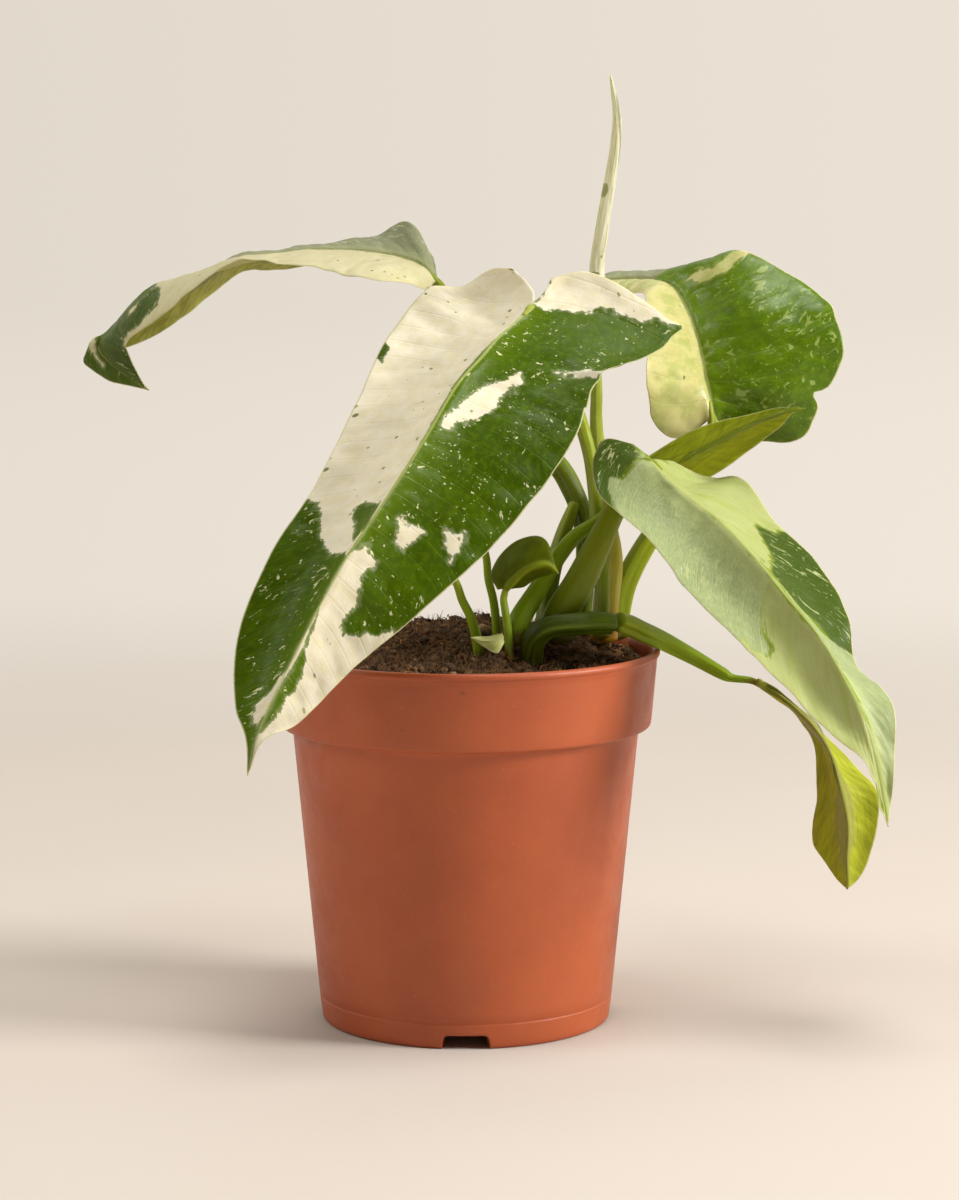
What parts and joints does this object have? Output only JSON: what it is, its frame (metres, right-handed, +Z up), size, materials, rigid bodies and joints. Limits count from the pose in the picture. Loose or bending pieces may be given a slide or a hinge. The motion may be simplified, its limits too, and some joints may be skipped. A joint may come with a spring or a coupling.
{
  "type": "potted houseplant",
  "caption": "Leafy variegated philodendron with long cream and green blades on arching stalks, rooted in a mounded peat ball inside a plain round tapered nursery pot.",
  "frame": {"origin": "the point on the floor under the middle of the object, which is also where the pot axis meets the floor within about a millimetre", "axes": "+Z up along the pot axis; -Y is the front, over which the largest leaf hangs; +X is the side towards which the stalks lean"},
  "size_m": [0.2531, 0.1658, 0.2906],
  "materials": {
    "pot": "terracotta-coloured injection-moulded plastic, faint mould texture, soft sheen",
    "soil": "dark fibrous peat, matt, crumbly, with paler bits of fibre and bark",
    "leaf": "waxy leaf blade, mid green with cream sectors, flecks and pale margins, satin sheen",
    "pale_leaf": "waxy young leaf, pale cream-green, satin sheen",
    "stalk": "smooth fresh petiole, bright to olive green with pale streaks, satin sheen"
  },
  "bodies": {
    "root": {"pot": "pot", "soil": "soil", "front_leaf_blade": "leaf", "left_leaf_blade": "leaf", "upper_right_leaf_blade": "leaf", "right_front_leaf_blade": "leaf", "mid_right_leaf_blade": "leaf", "drooping_leaf_blade": "leaf", "baby_leaf_blade": "leaf", "young_leaf_left": "leaf", "young_leaf_right": "leaf", "tiny_leaf": "pale_leaf", "spear_leaf": "pale_leaf", "front_leaf_petiole": "stalk", "left_leaf_petiole": "stalk", "upper_right_leaf_petiole": "stalk", "right_front_leaf_petiole": "stalk", "mid_right_leaf_petiole": "stalk", "drooping_leaf_petiole": "stalk", "baby_leaf_petiole": "stalk", "spear_stalk": "stalk", "young_stalk_left": "stalk", "young_stalk_right": "stalk"}
  },
  "joints": []
}
